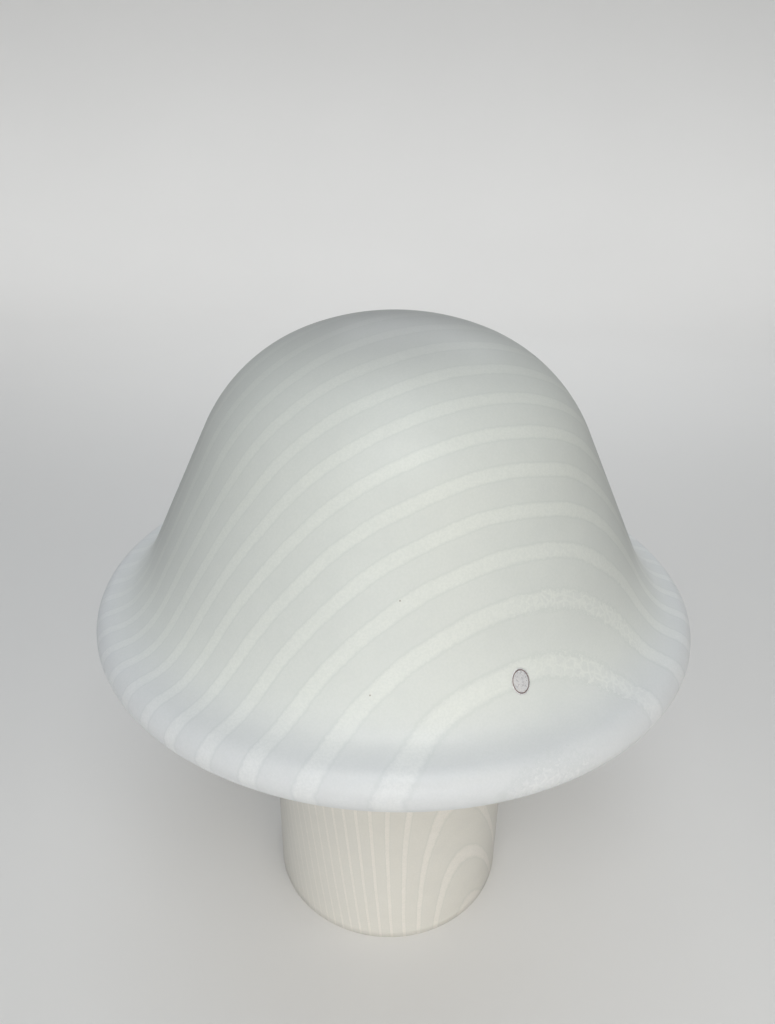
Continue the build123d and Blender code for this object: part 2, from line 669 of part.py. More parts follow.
def bulb_mount():
    """Flared glass tube, sealed to the neck at its foot and pinched solid round the leads."""
    foot = bulb_bottom()
    shoulder = foot + MOUNT_FLARE_HEIGHT
    return turned(outline(
        (BULB_NECK_RADIUS - BULB_WALL - SLIP, foot),
        (MOUNT_RADIUS, shoulder),
        (MOUNT_RADIUS, mount_tip()),
        (0, mount_tip()),
        (0, mount_tip() - MOUNT_FLARE_HEIGHT),
        (MOUNT_RADIUS - MOUNT_WALL, shoulder + 1),
        (BULB_NECK_RADIUS - BULB_WALL - SLIP - 2 * MOUNT_WALL, foot),
    ))


def filament_ends():
    """Where the filament's open ring ends, either side of the front."""
    height = mount_tip() + FILAMENT_RISE
    half = radians(FILAMENT_OPENING / 2)
    return [Vector(side * FILAMENT_RING * sin(half), -FILAMENT_RING * cos(half), height) for side in (-1, 1)]


def filament():
    """The coiled wire as a round bar along its open ring."""
    start = filament_ends()[1]
    centre = Plane(origin=(0, 0, start.Z))
    arc = centre * CenterArc((0, 0), FILAMENT_RING, FILAMENT_OPENING / 2 - 90, 360 - FILAMENT_OPENING)
    section = Plane(origin=arc @ 0, z_dir=arc % 0) * Circle(FILAMENT_RADIUS)
    return sweep(section, arc)


def bulb_leads():
    """Two straight wires from the mount's tip to the filament's ends."""
    leads = []
    for side, end in zip((-1, 1), filament_ends()):
        root = Vector(side * LEAD_SPREAD, 0, mount_tip() + LEAD_RADIUS)
        reach = end - root
        length = reach.length - FILAMENT_RADIUS - SLIP
        leads.append(Plane(origin=root, z_dir=reach) * extrude(Circle(LEAD_RADIUS), length))
    return solids_of(leads)


parts = {
    "glass_body": glass_body(),
    "base_plate": base_plate(),
    "rubber_feet": rubber_feet(),
    "spring_arms": solids_of(around(spring_arm(), foot_angles())),
    "spring_rivets": spring_rivets(),
    "cord_bush": cord_bush(),
    "stem_tube": stem_tube(),
    "tube_nuts": tube_nuts(),
    "lock_washers": lock_washers(),
    "tube_end_bush": tube_end_bush(),
    "lampholder_cap": lampholder_cap(),
    "cap_lock_screw": cap_lock_screw(),
    "lampholder_skirt": lampholder_skirt(),
    "lampholder_insert": lampholder_insert(),
    "threaded_shell": threaded_shell(),
    "centre_contact": centre_contact(),
    "contact_rivets": contact_rivets(),
    "terminal_strips": terminal_strips(),
    "terminal_clamps": terminal_clamps(),
    "terminal_screws": terminal_screws(),
    "bulb_glass": bulb_glass(),
    "bulb_cap": bulb_cap(),
    "bulb_insulator": bulb_insulator(),
    "bulb_contact": bulb_contact(),
    "bulb_mount": bulb_mount(),
    "bulb_leads": bulb_leads(),
    "filament": filament(),
}

os.makedirs("parts", exist_ok=True)
for node, shape in parts.items():
    export_step(shape, f"parts/{node}.step")
print("bulb tip", round(BULB_TIP, 3), "bulb top", round(parts["bulb_glass"].bounding_box().max.Z, 2))
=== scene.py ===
# %% [markdown]
# # A mushroom lamp blown from one piece of striped glass
# The imported model of the lamp comes first, as a frame that stays where it is. Everything made here is
# in metres in that same frame: the lamp's foot is z = 0, its axis is Z, and its back is +Y.
# What the frame holds at the start, its parts and its record, is kept.

# %% Load the frame
import json
import math

import bpy
import numpy as np
from mathutils import Matrix, Vector


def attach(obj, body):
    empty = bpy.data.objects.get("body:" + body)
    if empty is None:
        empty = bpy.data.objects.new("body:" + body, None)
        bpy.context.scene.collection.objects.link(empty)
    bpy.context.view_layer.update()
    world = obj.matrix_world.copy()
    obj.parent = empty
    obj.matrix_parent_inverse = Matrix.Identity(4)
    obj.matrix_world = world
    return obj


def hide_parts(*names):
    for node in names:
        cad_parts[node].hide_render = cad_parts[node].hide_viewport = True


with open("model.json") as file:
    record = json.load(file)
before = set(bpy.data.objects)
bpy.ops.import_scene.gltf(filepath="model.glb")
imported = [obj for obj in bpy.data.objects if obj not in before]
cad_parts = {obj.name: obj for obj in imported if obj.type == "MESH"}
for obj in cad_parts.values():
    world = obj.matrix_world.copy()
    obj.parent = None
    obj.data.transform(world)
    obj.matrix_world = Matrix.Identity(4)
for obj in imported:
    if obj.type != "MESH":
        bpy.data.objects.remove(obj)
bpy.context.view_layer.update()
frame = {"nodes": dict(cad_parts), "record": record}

MM = 0.001

# %% [markdown]
# ## Lines that turn without a corner
# A blown glass outline has no corners: each curve leaves along the tangent of the one before it. So an
# outline is written as a list of straight runs and bends, and walked from one end. A wall's inner face
# is the same walk, moved to the right by the wall's thickness, with every bend keeping its centre.


# %% A walk along runs and bends
WIDEST_STEP = 0.16  # radians that one step may turn on a bend


def walk(start, heading, steps, inset=0.0, spacing=3.0):
    """Points along straight runs (a number) and bends (radius, turn in degrees, left when positive).

    Formula: on a bend, a point is the bend's centre plus its radius at an angle that grows evenly;
    on a run, it is the start plus the heading times an evenly growing length. inset moves the whole
    line to its right. Returns an array of (radius, height) points, in the units of its input.
    """
    angle = math.radians(heading)
    here = np.array([start[0] + inset * math.sin(angle), start[1] - inset * math.cos(angle)])
    pieces = [here[None, :]]
    for step in steps:
        if isinstance(step, tuple):
            radius, turn = step[0], math.radians(step[1])
            radius = radius + inset if turn > 0 else radius - inset
            side = 1.0 if turn > 0 else -1.0
            centre = here + side * radius * np.array([-math.sin(angle), math.cos(angle)])
            by_length, by_turn = int(abs(turn) * radius / spacing), int(abs(turn) / WIDEST_STEP)
            count = max(3, by_length + 1, by_turn + 1)
            spread = angle + turn * np.linspace(0, 1, count + 1)[1:]
            points = centre + side * radius * np.stack([np.sin(spread), -np.cos(spread)], axis=1)
            angle += turn
        else:
            count = max(1, int(step / spacing))
            reach = step * np.linspace(0, 1, count + 1)[1:, None]
            points = here + reach * np.array([math.cos(angle), math.sin(angle)])
        pieces.append(points)
        here = points[-1]
    return np.concatenate(pieces)


# %% A grid of points made a closed skin
def skin(name, grid, poles=None):
    """Closed skin over a grid of points whose columns run right round.

    Formula: the faces join each point to the next in its row and in its column. With two poles, the
    first and last rows close in a fan; without, the last row joins the first.
    """
    n_rows, n_columns = grid.shape[:2]
    index = np.arange(n_rows * n_columns).reshape(n_rows, n_columns)
    if poles is None:
        index = np.concatenate([index, index[:1]])
    beside = np.roll(index, -1, axis=1)
    quads = np.stack([index[:-1], index[1:], beside[1:], beside[:-1]], axis=2).reshape(-1, 4)
    points, faces = grid.reshape(-1, 3), quads.tolist()
    if poles is not None:
        first, last = index.size, index.size + 1
        faces += np.stack([np.full(n_columns, first), index[0], beside[0]], axis=1).tolist()
        faces += np.stack([index[-1], np.full(n_columns, last), beside[-1]], axis=1).tolist()
        points = np.concatenate([points, poles])
    mesh = bpy.data.meshes.new(name)
    mesh.from_pydata(points.tolist(), [], faces)
    mesh.shade_smooth()
    piece = bpy.data.objects.new(name, mesh)
    bpy.context.scene.collection.objects.link(piece)
    return piece


# %% Turn a profile about the lamp's axis
def lathe(name, profile, angles, reshape=None):
    """Closed skin of a profile turned about Z.

    Formula: the point at profile step i and angle a is (r_i sin a, -r_i cos a, z_i), so that angle 0
    is the lamp's front. A profile that starts and ends on the axis closes in a point at each end;
    any other is closed along its length. reshape may move the grid of points before it is meshed.
    """
    on_axis = profile[0, 0] < 1e-9
    rows = profile[1:-1] if on_axis else profile
    r, z = rows[:, 0][:, None], rows[:, 1][:, None]
    a = angles[None, :]
    grid = np.stack([r * np.sin(a), -r * np.cos(a), z + 0 * a], axis=2)
    if reshape is not None:
        grid = reshape(grid, a)
    poles = np.array([[0, 0, profile[0, 1]], [0, 0, profile[-1, 1]]]) if on_axis else None
    return skin(name, grid, poles)


# %% [markdown]
# ## The glass
# The real lamp is blown in one go: dome, hollow rolled brim and stem share one wall, so it is one skin,
# outside and inside, that closes at the ground foot. The sizes repeat those of the construction model.

# %% Sizes of the glass, in millimetres
OVERALL_HEIGHT, BRIM_RADIUS, STEM_RADIUS, GLASS_WALL = 446.0, 200.0, 89.0, 3.5
CROWN_RADIUS, CROWN_TURN, SHOULDER_RADIUS, CONE_ANGLE = 164.0, 22.0, 115.0, 25.8
FLARE_UPPER_RADIUS, FLARE_UPPER_TURN, FLARE_LOWER_RADIUS = 90.0, 14.0, 28.0
BRIM_SLOPE, BRIM_FLAT, RIM_RADIUS = 18.0, 5.0, 14.0
UNDERSIDE_SLOPE, NECK_RADIUS = 4.0, 14.0
GROUND_BEVEL = 0.6
INLET_HEIGHT, NOTCH_HALF_WIDTH = 9.5, 5.5
GLASS_COLUMNS, ARCH_COLUMNS = 288, 13
OUTER_SPACING, INNER_SPACING = 4.0, 8.0


def rise(degree):
    """Share of a length that a slope of this many degrees goes up."""
    return math.sin(math.radians(degree))


def glass_steps():
    """Runs and bends from the crown's centre to the top of the stem, down the outside.

    The dome's straight side is as long as it takes to bring the brim to its radius, and the underside
    as long as it takes to bring the neck back to the stem's.
    """
    cone_heading = 90 - CONE_ANGLE
    flare_heading = cone_heading - FLARE_UPPER_TURN
    reach = (CROWN_RADIUS * rise(CROWN_TURN)
             + SHOULDER_RADIUS * (rise(cone_heading) - rise(CROWN_TURN))
             + FLARE_UPPER_RADIUS * (rise(cone_heading) - rise(flare_heading))
             + FLARE_LOWER_RADIUS * (rise(flare_heading) - rise(BRIM_SLOPE))
             + BRIM_FLAT * math.cos(math.radians(BRIM_SLOPE))
             + RIM_RADIUS * (1 - rise(BRIM_SLOPE)))
    cone_length = (BRIM_RADIUS - reach) / rise(CONE_ANGLE)
    tuck = (RIM_RADIUS + NECK_RADIUS) * (1 - rise(UNDERSIDE_SLOPE))
    underside = (BRIM_RADIUS - STEM_RADIUS - tuck) / math.cos(math.radians(UNDERSIDE_SLOPE))
    return [(CROWN_RADIUS, -CROWN_TURN), (SHOULDER_RADIUS, CROWN_TURN - cone_heading), cone_length,
            (FLARE_UPPER_RADIUS, FLARE_UPPER_TURN), (FLARE_LOWER_RADIUS, flare_heading - BRIM_SLOPE),
            BRIM_FLAT, (RIM_RADIUS, BRIM_SLOPE + UNDERSIDE_SLOPE - 180), underside,
            (NECK_RADIUS, 90 - UNDERSIDE_SLOPE)]


outside = walk((0, OVERALL_HEIGHT), 0, glass_steps(), 0, OUTER_SPACING)
inside = walk((0, OVERALL_HEIGHT), 0, glass_steps(), GLASS_WALL, INNER_SPACING)
STEM_TOP = outside[-1, 1]
print("stem top", round(STEM_TOP, 2), "outer steps", len(outside), "inner steps", len(inside))


# %% Close the skin at the ground foot
def stem_run(radius, top, bottom, spacing):
    """Straight run down the stem, without its first point, which the neck already has."""
    count = int((top - bottom) / spacing)
    heights = np.linspace(top, bottom, count + 1)[1:]
    return np.stack([np.full(count, radius), heights], axis=1)


foot = np.array([[STEM_RADIUS - GROUND_BEVEL, 0.0], [STEM_RADIUS - GLASS_WALL + GROUND_BEVEL, 0.0]])
outer_stem = stem_run(STEM_RADIUS, STEM_TOP, GROUND_BEVEL, 1.5 * OUTER_SPACING)
inner_stem = stem_run(STEM_RADIUS - GLASS_WALL, inside[-1, 1], GROUND_BEVEL, 1.5 * INNER_SPACING)[::-1]
profile = np.concatenate([outside, outer_stem, foot, inner_stem, inside[::-1]])
print("profile of", len(profile), "points")

# %% [markdown]
# The foot has a notch at the back for the cord. The notch is an arch, so the foot's height is a function
# of the angle: zero all round, and the arch's height within its half width. The rows of the straight stem
# are squeezed up over it, which leaves the wall where it was.


# %% Columns that fall on the notch's sides, and the lift over it
def notch_lift(angles):
    """Height of the foot's edge: the arch is INLET_HEIGHT plus the half chord of its round top."""
    across = STEM_RADIUS * np.sin(angles)
    behind = np.cos(angles) < 0
    reach = np.clip(NOTCH_HALF_WIDTH ** 2 - across ** 2, 0, None)
    inside_notch = behind & (np.abs(across) < NOTCH_HALF_WIDTH)
    return np.where(inside_notch, INLET_HEIGHT + np.sqrt(reach), 0.0)


def squeeze_stem(grid, angles):
    """Rows between foot and stem top move up in proportion: z' = lift + z (top - lift) / top."""
    lift = notch_lift(angles) * MM
    top = STEM_TOP * MM
    z = grid[:, :, 2]
    squeezed = lift + z * (top - lift) / top
    grid[:, :, 2] = np.where(z < top, squeezed, z)
    return grid


notch_angle = math.asin(NOTCH_HALF_WIDTH / STEM_RADIUS)
arch = math.pi + notch_angle * np.sin(np.linspace(-1, 1, ARCH_COLUMNS) * math.pi / 2)
sides = math.pi + notch_angle * np.array([-1.002, 1.002])
even = np.linspace(0, 2 * math.pi, GLASS_COLUMNS, endpoint=False)
even = even[np.abs(even - math.pi) > notch_angle * 1.1]
columns = np.sort(np.concatenate([even, arch, sides]))
glass = lathe("blown_glass", profile * MM, columns, squeeze_stem)
glass_points = np.empty(len(glass.data.vertices) * 3)
glass.data.vertices.foreach_get("co", glass_points)
glass_points = glass_points.reshape(-1, 3)
print("glass:", len(glass.data.polygons), "faces")

# %% [markdown]
# ## The stripes
# The pale stripes are threads of whiter glass, laid on the hot bubble before it was blown out. They lay in
# even slices across the bubble, and their axis lay almost level. So on a round bubble each stripe is where
#     sin(polar) cos(angle - pole) - tilt cos(polar)
# is a multiple of one spacing, polar being the angle from the crown. Blowing stretched the bubble more at
# its side than at its crown, so polar grows unevenly with the length of wall below the crown, and a slow
# twist turned the pole a little between crown and foot. The value is worked out at every point of the
# skin and kept as an attribute, so that the material can draw the stripes with clean or ragged edges.

# %% Value whose whole numbers are the stripes
STRIPES_PER_UNIT = 10.0
POLE_CROWN, POLE_BRIM, POLE_STEM, POLE_FOOT = 32.8, 23.5, 22.6, 47.3
WINDING_TILT, STEM_SHIFT = 0.1005, 0.32
STRETCH_EVEN, STRETCH_GROWING, STRETCH_LATE, LATE_POWER = 0.665, 0.438, -0.1645, 6
STEM_SPREAD_TOP, STEM_SPREAD_FOOT = 1.07, 1.43


def down_the_glass(radius, height):
    """How far down the glass each point is: 0 at the crown, 1 at the brim's edge, 2 at the top of the
    stem and 3 at the foot. On the dome it is the share of the wall's length, elsewhere of its reach.
    """
    line = np.concatenate([outside, outer_stem])
    length = np.concatenate([[0.0], np.cumsum(np.linalg.norm(np.diff(line, axis=0), axis=1))])
    edge = int(np.argmax(line[:, 0]))
    dome = line[:edge + 1]
    share = np.interp(radius - height, dome[:, 0] - dome[:, 1], length[:edge + 1] / length[edge])
    under = 1 + (BRIM_RADIUS - radius) / (BRIM_RADIUS - STEM_RADIUS)
    stem = 2 + (STEM_TOP - height) / STEM_TOP
    below = height < line[edge, 1]
    return np.where(below, np.where(radius > STEM_RADIUS + 0.01, under, np.maximum(stem, 2)), share)


def stripe_values(points):
    """Formula above on the dome. On the stem, a straight tube, the first term's factor and the pole grow
    evenly with depth, and the tilt's term is a constant shift. Under the brim one passes into the other.
    """
    down = down_the_glass(np.hypot(points[:, 0], points[:, 1]) / MM, points[:, 2] / MM)
    share, tuck, depth = (np.clip(down - start, 0, 1) for start in (0, 1, 2))
    polar = math.pi / 2 * (STRETCH_EVEN * share + STRETCH_GROWING * share ** 2
                           + STRETCH_LATE * share ** LATE_POWER)
    stem_spread = STEM_SPREAD_TOP + (STEM_SPREAD_FOOT - STEM_SPREAD_TOP) * depth
    spread = np.sin(polar) * (1 - tuck) + stem_spread * tuck
    tilt = WINDING_TILT * np.cos(polar) * (1 - tuck) + STEM_SHIFT * tuck
    pole = (POLE_CROWN + (POLE_BRIM - POLE_CROWN) * share + (POLE_STEM - POLE_BRIM) * tuck
            + (POLE_FOOT - POLE_STEM) * depth)
    angle = np.arctan2(points[:, 0], -points[:, 1])
    return STRIPES_PER_UNIT * (spread * np.cos(angle - np.radians(pole)) - tilt), down


values, down = stripe_values(glass_points)
stripe = glass.data.attributes.new("stripe", "FLOAT", "POINT")
stripe.data.foreach_set("value", values.astype(np.float32))
way = glass.data.attributes.new("way_down", "FLOAT", "POINT")
way.data.foreach_set("value", down.astype(np.float32))
print("stripe values from", round(float(values.min()), 2), "to", round(float(values.max()), 2))

# %% [markdown]
# ## Materials
# Each finish is built from a few nodes by a small helper, so that a finish reads as a list: what it is
# made of, how rough it is, and how its surface is broken up at its real scale.


# %% A small kit for node trees
class Finish:
    """A node material that is filled in step by step. Patterns read Object coordinates, in metres."""

    def __init__(self, name):
        self.material = bpy.data.materials.new(name)
        self.material.use_nodes = True
        self.nodes = self.material.node_tree.nodes
        self.links = self.material.node_tree.links
        self.shader = self.nodes["Principled BSDF"]
        self.place = self.nodes.new("ShaderNodeTexCoord").outputs["Object"]

    def join(self, source, target):
        self.links.new(source, target)

    def put(self, **values):
        """Sets the shader's own sockets, with _ for each space in a socket's name."""
        for name, value in values.items():
            self.shader.inputs[name.replace("_", " ")].default_value = value
        return self

    def noise(self, scale, detail=2.0, roughness=0.5, stretch=None):
        """Clouds with about scale of them to the metre, squeezed along each axis by stretch."""
        node = self.nodes.new("ShaderNodeTexNoise")
        node.inputs["Scale"].default_value = scale
        node.inputs["Detail"].default_value = detail
        node.inputs["Roughness"].default_value = roughness
        place = self.place
        if stretch is not None:
            mapping = self.nodes.new("ShaderNodeMapping")
            mapping.inputs["Scale"].default_value = stretch
            self.join(place, mapping.inputs["Vector"])
            place = mapping.outputs["Vector"]
        self.join(place, node.inputs["Vector"])
        return node.outputs["Fac"]

    def cell_walls(self, scale):
        """Distance to the nearest wall between cells, as a share of a cell."""
        node = self.nodes.new("ShaderNodeTexVoronoi")
        node.feature = "DISTANCE_TO_EDGE"
        node.inputs["Scale"].default_value = scale
        self.join(self.place, node.inputs["Vector"])
        return node.outputs["Distance"]

    def math(self, operation, first, second=0.0, clamp=False):
        """One sum, whose two sides are numbers or sockets."""
        node = self.nodes.new("ShaderNodeMath")
        node.operation = operation
        node.use_clamp = clamp
        for socket, value in zip(node.inputs, (first, second)):
            if isinstance(value, (int, float)):
                socket.default_value = value
            else:
                self.join(value, socket)
        return node.outputs[0]

    def band(self, value, low, high, out_low=0.0, out_high=1.0):
        """Number that passes softly from out_low to out_high as the value goes from low to high."""
        node = self.nodes.new("ShaderNodeMapRange")
        node.interpolation_type = "SMOOTHSTEP"
        limits = {"From Min": low, "From Max": high, "To Min": out_low, "To Max": out_high}
        for name, number in limits.items():
            node.inputs[name].default_value = number
        self.join(value, node.inputs["Value"])
        return node.outputs["Result"]

    def blend(self, amount, first, second, how="MIX"):
        """Colour between two colours, each a tuple or a socket."""
        node = self.nodes.new("ShaderNodeMix")
        node.data_type = "RGBA"
        node.blend_type = how
        if isinstance(amount, float):
            node.inputs["Factor"].default_value = amount
        else:
            self.join(amount, node.inputs["Factor"])
        for socket, colour in ((node.inputs[6], first), (node.inputs[7], second)):
            if isinstance(colour, tuple):
                socket.default_value = colour + (1.0,)
            else:
                self.join(colour, socket)
        return node.outputs[2]

    def near(self, place, whole=0.45, none=1.0):
        """1 around a place, given by its middle and its reach, falling to 0 at the reach."""
        node = self.nodes.new("ShaderNodeVectorMath")
        node.operation = "DISTANCE"
        node.inputs[1].default_value = place[0]
        self.join(self.place, node.inputs[0])
        return self.band(node.outputs["Value"], whole * place[1], none * place[1], 1.0, 0.0)

    def lean(self, amount, first, second):
        """Number that passes from first to second as amount grows: first + amount (second - first)."""
        change = self.math("MULTIPLY", amount, self.math("SUBTRACT", second, first))
        return self.math("ADD", change, first)

    def attribute(self, name):
        node = self.nodes.new("ShaderNodeAttribute")
        node.attribute_name = name
        return node.outputs["Fac"]

    def colour(self, source):
        self.join(source, self.shader.inputs["Base Color"])
        return self

    def rough(self, source):
        self.join(source, self.shader.inputs["Roughness"])
        return self

    def bump(self, height, depth, strength=1.0):
        """Fine relief, depth metres deep."""
        node = self.nodes.new("ShaderNodeBump")
        node.inputs["Strength"].default_value = strength
        node.inputs["Distance"].default_value = depth
        self.join(height, node.inputs["Height"])
        self.join(node.outputs["Normal"], self.shader.inputs["Normal"])
        return self


# %% [markdown]
# ### Frosted opal glass
# Acid-frosted opal glass is nearly white and glows softly, because light travels a few millimetres inside
# it. The ground is a cool, faintly green white, the stripes only a little warmer and denser, with ragged
# edges that carry a thin, slightly darker line. The stripes are strongest low down on the dome and fade
# towards the crown. The material reads the stripe attribute: its distance from the nearest whole number
# says how far into a stripe a point is, and noise on Object coordinates makes the edge uneven.
#
# The colour down the glass is painted light and shade. The crown is darkened a little grey by painted
# shade, and the dome below is painted brighter step by step. The brim is tinted cool as a painted
# reflection of the sky. The stem is tinted warm as painted bounce light, brightest at the foot. Casts that
# follow the way down the glass do that. A tinted coat that hardly bends or mirrors light darkens the dome
# and the stem a little towards their outline: painted shade inside the shader. It is weaker on the stem,
# and left off the rolled brim.

# %% Sizes and colours of the frosted glass
GROUND_COLOUR = (0.687, 0.709, 0.689)
STRIPE_COLOUR = (0.757, 0.779, 0.747)
STEM_STRIPE_COLOUR = (0.781, 0.792, 0.770)
EDGE_COLOUR = (0.640, 0.672, 0.645)
# Painted shade on the crown, then painted light down the glass: cool sky reflection on the brim, warm bounce
# light on the stem and foot.
CROWN_PAINTED_SHADE = (0.690, 0.683, 0.690)
PAINTED_LIGHT_DOWN = [(0.02, 0.36, (1.045, 1.047, 1.033)), (0.50, 0.80, (1.080, 1.080, 1.070)),
              (0.82, 1.00, (1.050, 1.040, 1.095)), (1.50, 2.00, (1.215, 1.145, 1.095)),
              (2.20, 2.90, (1.265, 1.190, 1.135))]
# The coat's tint paints shade towards the outline; it is weaker on the stem.
OUTLINE_SHADE_TINT, STEM_OUTLINE_SHADE = (0.93, 0.93, 0.93, 1.0), 0.6
HALF_WIDTH_DOME, HALF_WIDTH_STEM, HALF_WIDTH_LAST, HALF_WIDTH_PATCH = 0.165, 0.125, 0.135, 0.21
FAINTEST = 0.6
DRIFT, DRIFT_SCALE = 0.22, 16.0
UNREST, EDGE_SCALE = (0.11, 0.38), 420.0
PATCH_SCALE, UNEVEN_SCALE, MOTTLE_SCALE, FINE_SCALE, ACID_GRAIN_SCALE = 55.0, 130.0, 800.0, 1300.0, 1500.0

# %% [markdown]
# Where the bubble was thickest, at the lower right, the threads crackled: there they are a lace of small
# bubbles, whose walls are white and whose insides are clear. Three such places are given by their middle
# and their reach, and the stripes' density there follows a cell pattern instead of being even. Two tiny
# grey specks are grit that was caught in the glass.

# %% Places where the stripes are laced, in metres, and the specks
LACED_PLACES = [((0.107, -0.110, 0.311), 0.066), ((0.115, -0.140, 0.276), 0.040),
                ((0.085, -0.180, 0.259), 0.034)]
LACE_CELLS = 215.0
SPECKS = [((0.0034, -0.1429, 0.3340), 0.0008), ((-0.0107, -0.1638, 0.2908), 0.0007)]
SPECK_COLOUR = (0.42, 0.40, 0.36)

# %% [markdown]
# Some places are told by the stripe attribute itself, whose value counts the stripes from the back of the
# lamp to its front: the stripes fade backwards, only the last ones are laced, the ninth is narrower, and
# past it lies a loose patch of pale glass on the brim.

# %% Places told by the stripes' own count, and by the way down
FADED_TO_FULL, LACE_SETS_IN = (-4.0, 6.0), (6.9, 7.7)
LAST_STRIPE, LOOSE_PATCH = (8.4, 9.0), (9.35, 9.6)
DOME_TO_STEM, UNDER_THE_BRIM, BRIM_TO_STEM = (1.0, 2.0), (1.3, 1.6), (1.5, 2.0)
# Where the coat's painted outline shade leaves the dome and comes in on the stem.
OUTLINE_SHADE_LEAVES_DOME, OUTLINE_SHADE_REACHES_STEM = (0.7, 0.9), (1.95, 2.05)


# %% A stripe's inside and its edge line
def stripe_edges(finish, value, down, laced):
    """How far inside a stripe a point is, from 0 to 1, and how near its edge line, from 0 to 1.

    Formula: the distance is that of the value, moved a little by two noises, from the nearest whole
    number. A stripe reaches to a half width, which is less on the stem and more in the last patch.
    """
    drift = finish.math("MULTIPLY", finish.math("SUBTRACT", finish.noise(DRIFT_SCALE), 0.5), DRIFT)
    unrest = finish.lean(laced, *UNREST)
    rough_edge = finish.noise(EDGE_SCALE, 4.0, 0.65)
    ragged = finish.math("MULTIPLY", finish.math("SUBTRACT", rough_edge, 0.5), unrest)
    moved = finish.math("ADD", finish.math("ADD", value, drift), ragged)
    centred = finish.math("SUBTRACT", finish.math("FRACT", finish.math("ADD", moved, 0.5)), 0.5)
    distance = finish.math("ABSOLUTE", centred)
    half = finish.band(down, *DOME_TO_STEM, HALF_WIDTH_DOME, HALF_WIDTH_STEM)
    narrower = finish.band(value, *LAST_STRIPE, HALF_WIDTH_DOME, HALF_WIDTH_LAST)
    half = finish.math("MINIMUM", half, narrower)
    above = finish.band(down, *UNDER_THE_BRIM, 1.0, 0.0)
    patch = finish.math("MULTIPLY", finish.band(value, *LOOSE_PATCH), above)
    half = finish.math("MAXIMUM", half, finish.math("MULTIPLY", patch, HALF_WIDTH_PATCH))
    past = finish.math("SUBTRACT", distance, half)
    leaving = finish.band(past, 0.025, 0.07, 1.0, 0.0)
    edge = finish.math("MULTIPLY", finish.band(past, 0.0, 0.025), leaving)
    return finish.band(past, -0.045, 0.02, 1.0, 0.0), edge


# %% [markdown]
# Pale glass is nowhere quite even. Its density is the product of four things: how far inside a stripe a
# point is, the lace, a fine grain and a coarser cloudiness. Painted light and shade multiply the whole.

# %% How dense the pale glass is, and the tint of the wall under it
def stripe_amount(finish, inside_stripe, laced, faded):
    """Density of the pale glass: the stripe, broken up by lace, by fine and by coarse unevenness."""
    lace = finish.band(finish.cell_walls(LACE_CELLS), 0.04, 0.18, 1.25, 0.30)
    density = finish.lean(laced, 1.0, lace)
    fine = finish.band(finish.noise(FINE_SCALE), 0.3, 0.7, 0.86, 1.0)
    uneven = finish.band(finish.noise(UNEVEN_SCALE, 3.0), 0.25, 0.6, 0.72, 1.0)
    broken = finish.math("MULTIPLY", fine, uneven)
    amount = finish.math("MULTIPLY", finish.math("MULTIPLY", inside_stripe, density), broken)
    return finish.math("MULTIPLY", amount, faded, clamp=True)


def painted_light_down_the_glass(finish, down):
    """Painted shade on the crown, which passes into the next painted tone between each pair of ways down."""
    painted_tone = CROWN_PAINTED_SHADE
    for leaves, arrives, next_painted_tone in PAINTED_LIGHT_DOWN:
        painted_tone = finish.blend(finish.band(down, leaves, arrives), painted_tone, next_painted_tone)
    return painted_tone


# %% [markdown]
# The finish is then laid down as the glass is built: the cloudy ground, the dark edge lines, the pale
# stripes, the mottling of the acid bath, the specks, the painted light and shade down the glass, and last
# the coat that paints shade towards the outline, and the grain.

